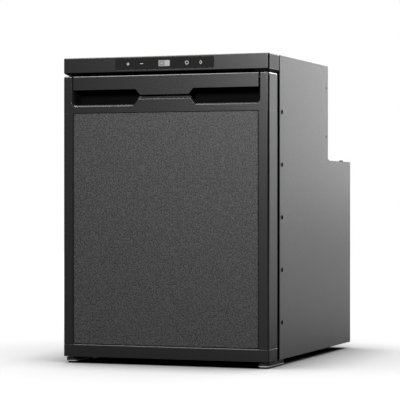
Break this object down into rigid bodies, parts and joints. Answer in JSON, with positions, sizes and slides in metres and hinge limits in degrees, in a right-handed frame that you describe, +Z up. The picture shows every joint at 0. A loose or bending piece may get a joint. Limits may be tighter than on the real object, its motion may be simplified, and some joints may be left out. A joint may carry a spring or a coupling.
{
  "type": "portable compressor fridge",
  "caption": "Upright front-opening compressor fridge for a camper: stepped steel cabinet, hinged door with a full-width pull handle, touch-control fascia, icebox, wire shelves and door racks.",
  "frame": {"origin": "on the floor under the middle of the closed fridge's bounding box", "axes": "+X to the right as seen from the front, +Y to the rear, +Z up; the door faces -Y"},
  "size_m": [0.38, 0.5, 0.534],
  "materials": {
    "cabinet_paint": "satin",
    "black_plastic": "satin",
    "gloss_black": "gloss",
    "display_grey": "gloss",
    "decor_laminate": "matte",
    "liner_white": "satin",
    "rigid_foam": "matte",
    "seal_rubber": "matte",
    "foot_rubber": "matte",
    "zinc_steel": "satin",
    "bracket_paint": "satin",
    "aluminium": "satin",
    "wire_white": "satin",
    "rack_plastic": "gloss",
    "lamp_plastic": "gloss",
    "compressor_paint": "satin",
    "copper": "satin",
    "board_green": "satin",
    "fan_black": "satin",
    "matt_black": "matte"
  },
  "bodies": {
    "cabinet": {"left_side_panel": "cabinet_paint", "right_side_panel": "cabinet_paint", "top_panel": "cabinet_paint", "upper_back_panel": "cabinet_paint", "base_pan": "cabinet_paint", "front_header": "cabinet_paint", "step_cover": "cabinet_paint", "rear_grille": "cabinet_paint", "fascia": "black_plastic", "power_inlet": "black_plastic", "control_module": "black_plastic", "control_panel": "gloss_black", "display_lens": "display_grey", "inner_liner": "liner_white", "icebox_frame": "liner_white", "temperature_sensor": "liner_white", "insulation_foam": "rigid_foam", "front_foot_pads": "foot_rubber", "rear_feet": "foot_rubber", "compressor_grommets": "foot_rubber", "hinge_pins": "zinc_steel", "lower_hinge_bracket": "bracket_paint", "left_front_foot": "bracket_paint", "compressor_base": "bracket_paint", "step_cover_screws": "bracket_paint", "upper_hinge_bracket": "matt_black", "latch_strike": "matt_black", "fascia_skirt": "matt_black", "evaporator": "aluminium", "condenser": "aluminium", "condenser_fins": "aluminium", "lower_shelf": "wire_white", "upper_shelf": "wire_white", "interior_lamp": "lamp_plastic", "compressor": "compressor_paint", "refrigerant_lines": "copper", "filter_drier": "copper", "control_board": "board_green", "fan_frame": "fan_black"},
    "door": {"door_top_cap": "black_plastic", "grip_wells": "matt_black", "door_bottom_cap": "black_plastic", "door_left_post": "black_plastic", "door_right_post": "black_plastic", "decor_panel": "decor_laminate", "door_foam": "rigid_foam", "door_liner": "liner_white", "door_gasket": "seal_rubber", "lower_door_rack": "rack_plastic", "upper_door_rack": "rack_plastic", "handle_pins": "zinc_steel", "latch_spring": "zinc_steel"},
    "handle": {"handle_plate": "black_plastic", "latch_drive_pin": "zinc_steel"},
    "latch": {"latch_bolt": "black_plastic"},
    "icebox_flap": {"icebox_flap": "liner_white"},
    "fan": {"fan_rotor": "fan_black"}
  },
  "joints": [
    {"name": "door_hinge", "type": "hinge", "parent": "cabinet", "child": "door", "pos_m": [0.178, -0.232, 0.2511], "axis": [0, 0, 1], "range_deg": [0, 120]},
    {"name": "handle_pull", "type": "hinge", "parent": "door", "child": "handle", "pos_m": [0, -0.242, 0.4942], "axis": [-1, 0, 0], "range_deg": [0, 15], "stiffness_Nm_per_rad": 1.5},
    {"name": "latch_slide", "type": "slide", "parent": "door", "child": "latch", "axis": [0, 0, -1], "range_m": [0, 0.0048], "deforming": ["latch_spring"]},
    {"name": "icebox_flap_hinge", "type": "hinge", "parent": "cabinet", "child": "icebox_flap", "pos_m": [0, -0.086, 0.469], "axis": [-1, 0, 0], "range_deg": [0, 88]},
    {"name": "fan_spin", "type": "hinge", "parent": "cabinet", "child": "fan", "pos_m": [-0.0998, 0.2488, 0.1332], "axis": [0, 1, 0], "continuous": true}
  ],
  "couplings": [
    {"joint": "latch_slide", "follows": "handle_pull", "m_per_rad": 0.018}
  ]
}
